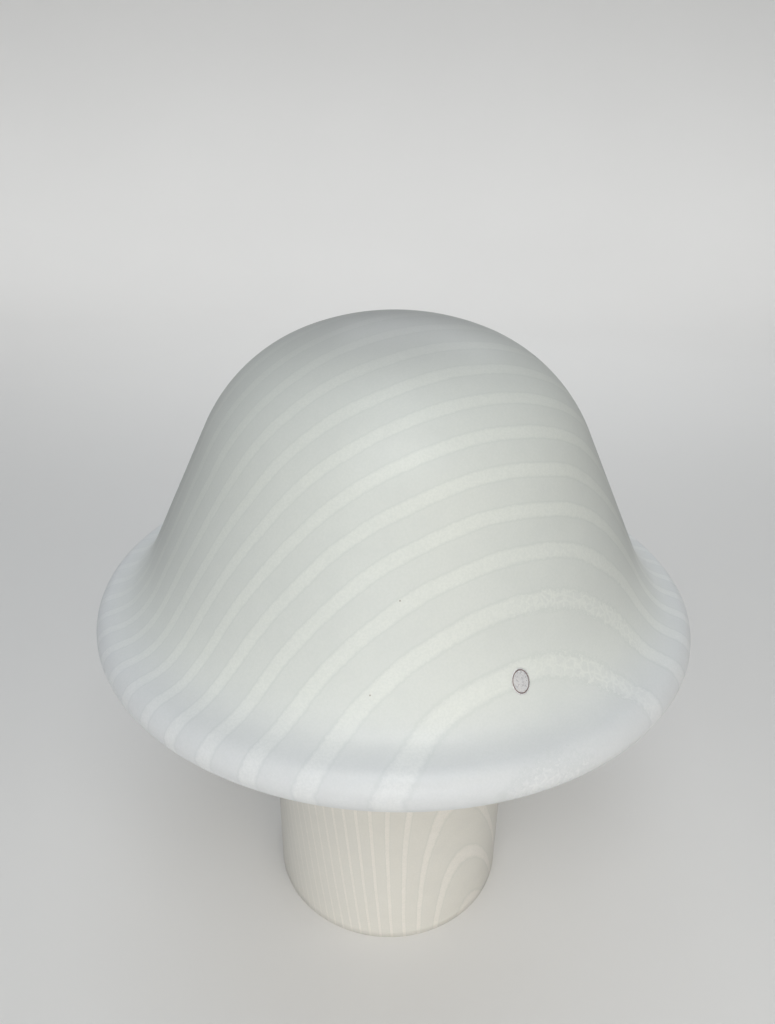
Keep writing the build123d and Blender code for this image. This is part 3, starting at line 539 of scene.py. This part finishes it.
# %% The frosted glass
def frosted_glass():
    """Opal ground, edge lines, stripes, mottling, specks and painted light and shade, under a tinted coat
    that paints shade towards the outline, with an acid grain.
    """
    finish = Finish("frosted_opal_glass")
    value, down = finish.attribute("stripe"), finish.attribute("way_down")
    laced = finish.near(LACED_PLACES[0])
    for place in LACED_PLACES[1:]:
        laced = finish.math("MAXIMUM", laced, finish.near(place))
    laced = finish.math("MULTIPLY", laced, finish.band(value, *LACE_SETS_IN, 0.35, 1.0))
    faded = finish.band(value, *FADED_TO_FULL, FAINTEST, 1.0)
    inside_stripe, edge = stripe_edges(finish, value, down, laced)
    amount = stripe_amount(finish, inside_stripe, laced, faded)

    patchy = finish.band(finish.noise(PATCH_SCALE, 3.0, 0.6), 0.3, 0.62, 0.0, 0.22)
    ground = finish.blend(patchy, GROUND_COLOUR, STRIPE_COLOUR)
    line = finish.math("MULTIPLY", edge, finish.math("MULTIPLY", faded, 0.6))
    lined = finish.blend(line, ground, EDGE_COLOUR)
    pale = finish.blend(finish.band(down, *BRIM_TO_STEM), STRIPE_COLOUR, STEM_STRIPE_COLOUR)
    striped = finish.blend(amount, lined, pale)
    mottled = finish.band(finish.noise(MOTTLE_SCALE), 0.35, 0.65, 0.0, 0.3)
    striped = finish.blend(mottled, striped, EDGE_COLOUR)
    for place in SPECKS:
        striped = finish.blend(finish.near(place, 0.5, 0.7), striped, SPECK_COLOUR)
    # Painted light and shade down the glass multiply the colour.
    finish.colour(finish.blend(1.0, striped, painted_light_down_the_glass(finish, down), "MULTIPLY"))

    # A tinted coat paints shade towards the outline of the dome and, weaker, of the stem.
    outline_shade_dome = finish.band(down, *OUTLINE_SHADE_LEAVES_DOME, 1.0, 0.0)
    outline_shade_stem = finish.band(down, *OUTLINE_SHADE_REACHES_STEM, 0.0, STEM_OUTLINE_SHADE)
    finish.join(finish.math("MAXIMUM", outline_shade_dome, outline_shade_stem), finish.shader.inputs["Coat Weight"])
    grain = finish.noise(ACID_GRAIN_SCALE)
    finish.rough(finish.band(grain, 0.3, 0.7, 0.36, 0.45)).bump(grain, 0.00004, 0.5)
    finish.put(Coat_Tint=OUTLINE_SHADE_TINT, Coat_IOR=1.02, Coat_Roughness=0.45, IOR=1.5)
    finish.put(Subsurface_Weight=0.35, Subsurface_Scale=0.004, Subsurface_Radius=(1.0, 1.0, 0.95))
    return finish.material


glass.data.materials.append(frosted_glass())
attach(glass, "glass")
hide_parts("glass_body")
print("frosted glass on", glass.name)

# %% [markdown]
# ## The label
# A small oval foil label sticks to the flare above the brim, at the lower right of the front. It is silver
# foil with a thin dark border. It is thin enough to follow the glass, so it is laid out in arc lengths on
# the glass's own outline: across along the ring, down along the wall.

# %% Oval foil on the glass
LABEL_ANGLE, LABEL_HEIGHT = 24.1, 290.8
LABEL_HALF_WIDTH, LABEL_HALF_LENGTH = 5.3, 6.9
LABEL_GAP, LABEL_THICKNESS = 0.02, 0.10
LABEL_COLUMNS, WALL_NEAR_LABEL = 72, 30.0
BORDER_STARTS, BORDER_ENDS = (0.82, 0.85), (0.90, 0.93)
FOIL_COLOUR, BORDER_COLOUR = (0.84, 0.84, 0.86), (0.14, 0.07, 0.06)


def on_the_glass(across, down_wall, lift):
    """Point on the glass: the outline is read at its length plus down_wall, then moved out by lift along
    its normal (its step turned by a right angle), and turned by across over the radius there.
    """
    step = np.diff(outside, axis=0)
    length = np.concatenate([[0.0], np.cumsum(np.linalg.norm(step, axis=1))])
    upper = outside[:, 1] > LABEL_HEIGHT - WALL_NEAR_LABEL
    start = np.interp(-LABEL_HEIGHT, -outside[upper, 1], length[upper])
    slope = np.gradient(outside, length, axis=0)
    r, z, dr, dz = (np.interp(start + down_wall, length, column)
                    for column in (outside[:, 0], outside[:, 1], slope[:, 0], slope[:, 1]))
    size = np.hypot(dr, dz)
    r, z = r - dz / size * lift, z + dr / size * lift
    angle = math.radians(LABEL_ANGLE) + across / r
    return np.stack([r * np.sin(angle), -r * np.cos(angle), z], axis=-1)


top_rings, back_rings = [0.12, 0.3, 0.5, 0.7, 0.80, 0.85, 0.90, 0.97], [0.97, 0.7, 0.4, 0.12]
rings = np.array(top_rings + [1.0, 1.0] + back_rings)
rounded_edge = [0.75, 0.25]
height = np.array([1.0] * len(top_rings) + rounded_edge + [0.0] * len(back_rings))
lifts = LABEL_GAP + LABEL_THICKNESS * height
around = np.linspace(0, 2 * math.pi, LABEL_COLUMNS, endpoint=False)
across = LABEL_HALF_WIDTH * rings[:, None] * np.sin(around)
along = LABEL_HALF_LENGTH * rings[:, None] * np.cos(around)
sheet = on_the_glass(across, along, lifts[:, None] + 0 * around)
middles = on_the_glass(np.zeros(2), np.zeros(2), lifts[[0, -1]])
label = skin("foil_label", sheet * MM, middles * MM)
ring = label.data.attributes.new("ring", "FLOAT", "POINT")
ring_values = np.concatenate([np.repeat(rings, LABEL_COLUMNS), [0, 0]])
ring.data.foreach_set("value", ring_values.astype(np.float32))


def label_foil():
    """Silver foil with a thin dark border, a little crinkled."""
    finish = Finish("label_foil")
    edge = finish.attribute("ring")
    leaving = finish.band(edge, *BORDER_ENDS, 1.0, 0.0)
    border = finish.math("MULTIPLY", finish.band(edge, *BORDER_STARTS), leaving)
    finish.colour(finish.blend(border, FOIL_COLOUR, BORDER_COLOUR))
    crinkle = finish.noise(700.0, 3.0)
    finish.rough(finish.band(crinkle, 0.3, 0.7, 0.22, 0.38)).bump(crinkle, 0.00006, 0.7)
    return finish.put(Metallic=0.45).material


label.data.materials.append(label_foil())
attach(label, "glass")
print("label:", len(label.data.polygons), "faces")

# %% [markdown]
# ### Finishes of the fitting and the bulb
# The parts of the construction model keep their shape and get their finish here.


# %% Metals, plastics, porcelain and rubber
def painted_steel():
    """Stoved white lacquer with a fine orange peel."""
    finish = Finish("white_lacquer")
    spots = finish.noise(900.0, 3.0)
    finish.colour(finish.blend(finish.noise(30.0, 4.0), (0.70, 0.69, 0.65), (0.76, 0.75, 0.72)))
    finish.rough(finish.band(spots, 0.3, 0.7, 0.32, 0.45)).bump(spots, 0.00005, 0.6)
    return finish.material


def metal(name, dark, light, rough_low, rough_high, stretch=(1, 1, 1)):
    """Bare metal: faint clouds of tone, and a fine grain that may be drawn out by the rolling."""
    finish = Finish(name)
    grain = finish.noise(600.0, 4.0, 0.6, stretch)
    finish.colour(finish.blend(finish.noise(60.0, 4.0, 0.6), dark, light))
    finish.rough(finish.band(grain, 0.3, 0.7, rough_low, rough_high)).bump(grain, 0.00002, 0.4)
    return finish.put(Metallic=1.0).material


def moulded(name, dark, light, rough_low, rough_high, coat=0.0):
    """Moulded plastic, rubber or glazed ware: even, with a clear coat where it is glossy."""
    finish = Finish(name)
    grain = finish.noise(700.0, 3.0)
    finish.colour(finish.blend(finish.noise(120.0, 4.0), dark, light))
    finish.rough(finish.band(grain, 0.3, 0.7, rough_low, rough_high)).bump(grain, 0.00003, 0.4)
    return finish.put(Coat_Weight=coat, Coat_Roughness=0.08).material


def thin_glass(name, colour, roughness, transmission):
    """Bulb glass, frosted by its roughness and clear by its transmission."""
    finish = Finish(name)
    cloud = finish.noise(80.0, 3.0)
    finish.colour(finish.blend(cloud, tuple(0.96 * c for c in colour), colour))
    finish.rough(finish.band(cloud, 0.3, 0.7, roughness, roughness + 0.06))
    return finish.put(Transmission_Weight=transmission, IOR=1.5).material


finishes = {
    "white_lacquer": painted_steel(),
    "black_rubber": moulded("black_rubber", (0.012, 0.012, 0.012), (0.024, 0.023, 0.022), 0.62, 0.8),
    "spring_steel": metal("spring_steel", (0.42, 0.42, 0.43), (0.54, 0.54, 0.55), 0.24, 0.38, (1, 1, 12)),
    "rivet_aluminium": metal("rivet_aluminium", (0.68, 0.69, 0.70), (0.80, 0.80, 0.81), 0.28, 0.42),
    "bush_plastic": moulded("bush_plastic", (0.018, 0.018, 0.018), (0.03, 0.03, 0.03), 0.38, 0.5),
    "zinc_steel": metal("zinc_steel", (0.50, 0.51, 0.52), (0.64, 0.64, 0.65), 0.25, 0.42, (1, 1, 0.2)),
    "nut_steel": metal("nut_steel", (0.52, 0.52, 0.50), (0.66, 0.66, 0.64), 0.26, 0.4),
    "bakelite": moulded("bakelite", (0.010, 0.008, 0.007), (0.022, 0.017, 0.014), 0.14, 0.24, 0.5),
    "porcelain": moulded("porcelain", (0.72, 0.70, 0.65), (0.79, 0.78, 0.74), 0.16, 0.26, 0.6),
    "brass": metal("brass", (0.62, 0.42, 0.16), (0.78, 0.58, 0.27), 0.2, 0.34),
    "bulb_glass": thin_glass("bulb_glass", (0.95, 0.95, 0.93), 0.36, 0.45),
    "cap_aluminium": metal("cap_aluminium", (0.66, 0.66, 0.67), (0.78, 0.78, 0.79), 0.22, 0.36),
    "black_glass": moulded("black_glass", (0.006, 0.006, 0.008), (0.012, 0.012, 0.014), 0.08, 0.16),
    "solder": metal("solder", (0.48, 0.48, 0.50), (0.60, 0.60, 0.61), 0.3, 0.5),
    "clear_glass": thin_glass("clear_glass", (0.92, 0.95, 0.93), 0.04, 0.95),
    "lead_wire": metal("lead_wire", (0.42, 0.40, 0.37), (0.55, 0.52, 0.48), 0.25, 0.4),
    "tungsten": metal("tungsten", (0.22, 0.22, 0.23), (0.32, 0.32, 0.33), 0.3, 0.45),
}
print(len(finishes), "finishes")

# %% Give every carried-over node its finish
for entry in frame["record"]["subparts"]:
    node, slot = frame["nodes"][entry["node"]], entry["material_slot"]
    if slot in finishes:
        node.data.materials.clear()
        node.data.materials.append(finishes[slot])

# %% [markdown]
# ## The screw threads
# The construction model draws a thread as a plain cylinder at its crests. A real one is a wave that winds
# round: where the height in pitches, less the share of a turn, is a whole number, there is a crest. As
# the lamp's angle grows anticlockwise seen from above, that gives a right-hand thread. A rolled sheet
# thread, such as a bulb's, is a round wave; a thread cut on a tube has straight sides and narrow crests.


# %% A thread that winds round a profile
def wound(pitch, depth, low, high, face, sharp=1.0):
    """Moves the points of a lathe's grid in or out. In millimetres, but for the grid, in metres.

    Formula: radius = radius - depth (0.5 - 0.5 cos(2 pi phase)) ^ sharp, phase being z / pitch less the
    turn, faded in over the first and last pitch. It only acts where the radius is face(radius).
    """
    def reshape(grid, angles):
        z = grid[:, :, 2] / MM
        radius = np.hypot(grid[:, :, 0], grid[:, :, 1]) / MM
        wave = (0.5 - 0.5 * np.cos(2 * math.pi * (z / pitch - angles / (2 * math.pi)))) ** sharp
        fade = np.clip((z - low) / pitch, 0, 1) * np.clip((high - z) / pitch, 0, 1)
        moved = np.where(face(radius), radius - depth * wave * fade, radius)
        grid[:, :, :2] *= (moved / radius)[:, :, None]
        return grid
    return reshape


def upright(radius, bottom, top, spacing):
    """Evenly spaced points up a straight wall, both ends included."""
    heights = np.linspace(bottom, top, max(2, int(abs(top - bottom) / spacing) + 1))
    return np.stack([np.full(len(heights), radius), heights], axis=1)


turn_96, turn_48 = (np.linspace(0, 2 * math.pi, count, endpoint=False) for count in (96, 48))


def carried(piece, body, node, slot):
    """Takes a node's place: rides on its body and has its slot's finish."""
    piece.data.materials.append(finishes[slot])
    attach(piece, body)
    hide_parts(node)
    print(piece.name, len(piece.data.polygons), "faces")


# %% [markdown]
# ### The bulb's screw cap
# It is drawn and rolled from thin aluminium and cemented to the bulb's neck, so its inside is straight and
# its outside carries the round wave. The toe is drawn in towards the black glass, the rim flares out.

# %% Bulb cap with a rolled thread
SCREW_PITCH, CAP_CREST, CAP_THREAD_DEPTH = 3.629, 13.0, 0.56
CAP_BOTTOM, CAP_TOP, CAP_TOE, CAP_FLARE, TOE_RADIUS, CAP_INSIDE = 232.05, 253.05, 2.0, 0.7, 11.0, 12.34
CAP_SHEET, WAVE_SPACING = 0.4, 0.3

toe = [[TOE_RADIUS - CAP_SHEET, CAP_BOTTOM], [TOE_RADIUS, CAP_BOTTOM],
       [TOE_RADIUS + 1.2, CAP_BOTTOM + 0.8], [CAP_CREST - 0.25, CAP_BOTTOM + 1.55]]
threaded_wall = upright(CAP_CREST, CAP_BOTTOM + CAP_TOE, CAP_TOP - CAP_TOE, WAVE_SPACING)
flared_rim = [[CAP_CREST + 0.2, CAP_TOP - 1.1], [CAP_CREST + CAP_FLARE, CAP_TOP],
              [CAP_CREST + CAP_FLARE - CAP_SHEET, CAP_TOP], [CAP_CREST - 0.3, CAP_TOP - 1.4]]
plain_inside = upright(CAP_INSIDE, CAP_TOP - CAP_TOE, CAP_BOTTOM + CAP_TOE, 2.0)
cap_line = np.concatenate([toe, threaded_wall, flared_rim, plain_inside])[::-1]
screw_cap = lathe("bulb_screw_cap", cap_line * MM, turn_96,
                  wound(SCREW_PITCH, CAP_THREAD_DEPTH, CAP_BOTTOM + 1.6, CAP_TOP - 2.4,
                        lambda radius: np.abs(radius - CAP_CREST) < 0.01))
carried(screw_cap, "bulb", "bulb_cap", "cap_aluminium")

# %% [markdown]
# ### The threaded shell
# The lampholder's shell is rolled from one sheet, so both of its faces carry the same wave. Its crests
# point inwards, where the construction model has its bore, and its floor rests on the porcelain.

# %% Threaded shell of rolled brass
SHELL_CREST, SHELL_SHEET, SHELL_THREAD_DEPTH = 13.35, 0.4, -0.56
SHELL_BOTTOM, SHELL_TOP, SHELL_FLOOR, SHELL_HOLE = 222.0, 249.0, 0.5, 7.0

shell_line = np.concatenate([
    [[SHELL_HOLE, SHELL_BOTTOM], [SHELL_CREST - 0.6, SHELL_BOTTOM]],
    [[SHELL_CREST + SHELL_SHEET - 0.15, SHELL_BOTTOM + 0.15]],
    upright(SHELL_CREST + SHELL_SHEET, SHELL_BOTTOM + 0.6, SHELL_TOP, WAVE_SPACING),
    upright(SHELL_CREST, SHELL_TOP, SHELL_BOTTOM + SHELL_FLOOR + 0.4, WAVE_SPACING),
    [[SHELL_CREST - 0.4, SHELL_BOTTOM + SHELL_FLOOR], [SHELL_HOLE, SHELL_BOTTOM + SHELL_FLOOR]],
])[::-1]
shell_piece = lathe("rolled_thread_shell", shell_line * MM, turn_96,
                    wound(SCREW_PITCH, SHELL_THREAD_DEPTH, SHELL_BOTTOM + 2.0, SHELL_TOP + 0.5,
                          lambda radius: radius > SHELL_CREST - 0.01))
carried(shell_piece, "light_fitting", "threaded_shell", "brass")

# %% [markdown]
# ### The stem tube
# A lamp tube is steel with a fine thread cut at each end: the lower end takes the two nuts that clamp the
# plate, the upper one the lock nut and the lampholder. Between the threads it is plain.

# %% Stem tube with cut threads
TUBE_CREST, TUBE_INSIDE, TUBE_BOTTOM, TUBE_TOP = 5.0, 4.0, 9.0, 197.0
TUBE_PITCH, TUBE_THREAD_DEPTH, LOWER_THREAD, UPPER_THREAD = 1.0, 0.32, 36.0, 172.0
TUBE_BEVEL, PLAIN_SPACING = 0.3, 12.0

tube_line = np.concatenate([
    [[TUBE_INSIDE, TUBE_BOTTOM], [TUBE_CREST - TUBE_BEVEL, TUBE_BOTTOM]],
    upright(TUBE_CREST, TUBE_BOTTOM + TUBE_BEVEL, LOWER_THREAD, TUBE_PITCH / 8),
    upright(TUBE_CREST, LOWER_THREAD + 2, UPPER_THREAD - 2, PLAIN_SPACING),
    upright(TUBE_CREST, UPPER_THREAD, TUBE_TOP - TUBE_BEVEL, TUBE_PITCH / 8),
    [[TUBE_CREST - TUBE_BEVEL, TUBE_TOP], [TUBE_INSIDE, TUBE_TOP]],
    upright(TUBE_INSIDE, TUBE_TOP - PLAIN_SPACING / 2, TUBE_BOTTOM + PLAIN_SPACING / 2, PLAIN_SPACING),
])[::-1]


def tube_wave(low, high):
    return wound(TUBE_PITCH, TUBE_THREAD_DEPTH, low, high, lambda radius: radius > TUBE_CREST - 0.01, 0.8)


lower_wave, upper_wave = tube_wave(TUBE_BOTTOM - 1, LOWER_THREAD), tube_wave(UPPER_THREAD, TUBE_TOP + 1)
tube_piece = lathe("threaded_lamp_tube", tube_line * MM, turn_48,
                   lambda grid, angles: upper_wave(lower_wave(grid, angles), angles))
carried(tube_piece, "light_fitting", "stem_tube", "zinc_steel")

# %% [markdown]
# ## Camera
# The photograph looks down on the lamp from close by. The camera's place was found by fitting circles to
# the rim and the foot: it is given here as a distance from a point on the axis, and three angles.

# %% Camera at the photograph's view
CAMERA_AIM_HEIGHT = 0.3134
CAMERA_DISTANCE = 0.5296
CAMERA_PITCH, CAMERA_YAW, CAMERA_ROLL = 26.155, -0.558, 1.207
FOCAL_PIXELS, FRAME_WIDTH, FRAME_HEIGHT, SENSOR = 780.0, 775, 1024, 36.0


def camera_axes():
    """Looks along +Y and down by the pitch, then turns by yaw about its up axis and rolls about its view."""
    pitch, yaw, roll = (math.radians(a) for a in (CAMERA_PITCH, CAMERA_YAW, CAMERA_ROLL))
    back = Vector((0, -math.cos(pitch), math.sin(pitch)))
    ahead, right = -back, Vector((1, 0, 0))
    up = right.cross(ahead)
    turned = Matrix.Rotation(-yaw, 3, up)
    ahead, right = turned @ ahead, turned @ right
    rolled = Matrix.Rotation(-roll, 3, ahead)
    return back, ahead, rolled @ right, rolled @ up


back, ahead, right, up = camera_axes()
camera_data = bpy.data.cameras.new("photo_camera")
camera_data.lens = FOCAL_PIXELS / max(FRAME_WIDTH, FRAME_HEIGHT) * SENSOR
camera_data.sensor_width = SENSOR
camera_data.clip_start = 0.01
camera = bpy.data.objects.new("photo_camera", camera_data)
place = Vector((0, 0, CAMERA_AIM_HEIGHT)) + back * CAMERA_DISTANCE
turn = Matrix((right, up, -ahead)).transposed().to_4x4()
camera.matrix_world = Matrix.Translation(place) @ turn
bpy.context.scene.collection.objects.link(camera)
bpy.context.scene.camera = camera
print("camera at", tuple(round(v, 3) for v in place), "lens", round(camera_data.lens, 2))

# %% [markdown]
# ## Floor and light
# The lamp stands on a plain pale studio sweep: a floor that bends up into a wall without an edge, as paper
# hung from a roll does. Frosted glass takes its shading from where the light comes from, so the lights copy
# a bright room: a cooler window at the front left and a warmer one at the front right give the dome its two
# soft sides, a high window fills the shoulder, and a low one reaches under the brim and lights the stem.
# The ceiling lights the crown from above, and a window behind puts a soft edge on it and lights the back.
# A long light high up, narrowed so that it misses the lamp, only brightens the wall, and the room around
# adds a little cool light from everywhere.

# %% Studio sweep
FLOOR_FRONT, FLOOR_BACK, SWEEP_RADIUS, WALL_TOP, SWEEP_HALF_WIDTH = -7.0, 1.9, 1.3, 5.0, 8.0
SWEEP_COLUMNS = 24


def studio_sweep():
    """Profile pushed sideways. Formula: a bend's point at angle t is (back + R sin t, R - R cos t)."""
    turn = np.linspace(0, math.pi / 2, SWEEP_COLUMNS)
    bend = np.stack([FLOOR_BACK + SWEEP_RADIUS * np.sin(turn), SWEEP_RADIUS * (1 - np.cos(turn))], axis=1)
    line = np.concatenate([[[FLOOR_FRONT, 0.0]], bend, [[FLOOR_BACK + SWEEP_RADIUS, WALL_TOP]]])
    ends = np.array([-SWEEP_HALF_WIDTH, SWEEP_HALF_WIDTH])
    points = np.stack([np.tile(ends, len(line)), np.repeat(line[:, 0], 2), np.repeat(line[:, 1], 2)], axis=1)
    first = 2 * np.arange(len(line) - 1)
    faces = np.stack([first, first + 1, first + 3, first + 2], axis=1)
    mesh = bpy.data.meshes.new("studio_sweep")
    mesh.from_pydata(points.tolist(), [], faces.tolist())
    mesh.shade_smooth()
    sweep = bpy.data.objects.new("studio_sweep", mesh)
    bpy.context.scene.collection.objects.link(sweep)
    return sweep


sweep = studio_sweep()
paper = Finish("studio_paper")
paper.colour(paper.blend(paper.noise(2.0, 3.0), (0.82, 0.81, 0.795), (0.85, 0.84, 0.825)))
paper.put(Roughness=0.85)
sweep.data.materials.append(paper.material)


# %% Soft lights and the room's own light
def soft_light(name, place, aim, size, watts, colour, spread=180.0):
    """Rectangle of light at a place, turned to face its aim."""
    data = bpy.data.lights.new(name, "AREA")
    data.shape = "RECTANGLE"
    data.size, data.size_y = size
    data.energy = watts
    data.spread = math.radians(spread)
    data.color = colour
    light = bpy.data.objects.new(name, data)
    light.location = place
    light.rotation_euler = (Vector(aim) - Vector(place)).to_track_quat("-Z", "Y").to_euler()
    bpy.context.scene.collection.objects.link(light)
    return light


world = bpy.data.worlds.new("studio_room")
world.use_nodes = True
room_light = world.node_tree.nodes["Background"].inputs
room_light["Color"].default_value = (0.92, 0.96, 1.0, 1.0)
room_light["Strength"].default_value = 0.20
bpy.context.scene.world = world
bpy.context.scene.view_settings.view_transform = "Standard"

soft_light("window_left", place=(-0.45, -1.5, 1.2), aim=(0, 0, 0.3), size=(0.9, 0.8),
           watts=3.5, colour=(0.97, 1.0, 1.0))
soft_light("window_right", place=(0.75, -1.4, 1.1), aim=(0, 0, 0.3), size=(0.9, 0.8),
           watts=3.5, colour=(1.0, 0.875, 0.67))
soft_light("high_window", place=(0.1, -1.25, 2.0), aim=(0, 0, 0.2), size=(1.4, 0.6),
           watts=12.6, colour=(0.97, 0.985, 1.0))
soft_light("low_window", place=(0.1, -2.2, 0.45), aim=(0, 0, 0.15), size=(1.6, 0.5),
           watts=10.2, colour=(1.0, 0.985, 0.95))
soft_light("ceiling", place=(-0.05, -0.15, 2.3), aim=(0, -0.1, 0.3), size=(1.2, 0.9),
           watts=5.0, colour=(0.86, 0.93, 1.0))
soft_light("back_window", place=(0.2, 1.5, 1.5), aim=(0, 0, 0.3), size=(1.4, 0.8),
           watts=6.0, colour=(0.93, 0.97, 1.0))
soft_light("wall_light", place=(-0.6, 0.3, 4.3), aim=(-0.6, 2.7, 0.0), size=(9.0, 0.8),
           watts=33.0, colour=(0.99, 1.0, 1.0), spread=56.0)
